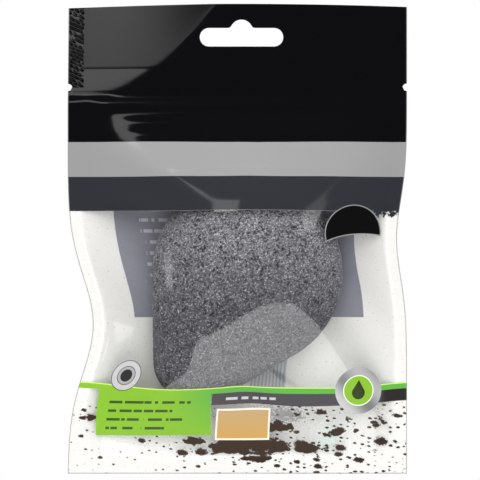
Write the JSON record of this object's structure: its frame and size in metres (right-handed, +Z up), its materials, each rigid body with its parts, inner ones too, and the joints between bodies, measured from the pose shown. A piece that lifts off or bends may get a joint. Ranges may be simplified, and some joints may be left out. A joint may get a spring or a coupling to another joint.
{
  "type": "konjac sponge in a hanging pouch",
  "caption": "Teardrop charcoal facial sponge sealed in a flat film pouch with a clear window, a press-to-close zip, tear notches and a hang slot.",
  "frame": {"origin": "centre of the euro hang slot, in the plane of the welds", "axes": "+Z up the hanging pouch, +X to the right of someone who looks at its front, the front faces -Y"},
  "size_m": [0.13, 0.0322, 0.18],
  "materials": {
    "header_film": "glossy black printed film, knurled where it is welded",
    "front_film": "glossy clear film with printed bands",
    "back_film": "glossy white film",
    "weld_film": "glossy film, heat-welded",
    "zip_plastic": "clear extruded plastic",
    "sponge_foam": "dry open-pored charcoal sponge"
  },
  "bodies": {
    "header": {"header_weld": "header_film", "header_front_film": "header_film", "header_back_film": "back_film"},
    "pouch": {"front_panel": "front_film", "back_panel": "back_film", "left_side_weld": "weld_film", "right_side_weld": "weld_film", "bottom_weld": "weld_film", "zip_groove_strip": "zip_plastic", "zip_rib_strip": "zip_plastic"},
    "sponge": {"sponge": "sponge_foam"}
  },
  "joints": [
    {"name": "tear_line", "type": "hinge", "parent": "header", "child": "pouch", "pos_m": [0.0634, 0, -0.0192], "axis": [0, -1, 0], "range_deg": [0, 90]},
    {"name": "sponge_shift", "type": "slide", "parent": "pouch", "child": "sponge", "axis": [0, 0, 1], "range_m": [0, 0.008]}
  ]
}
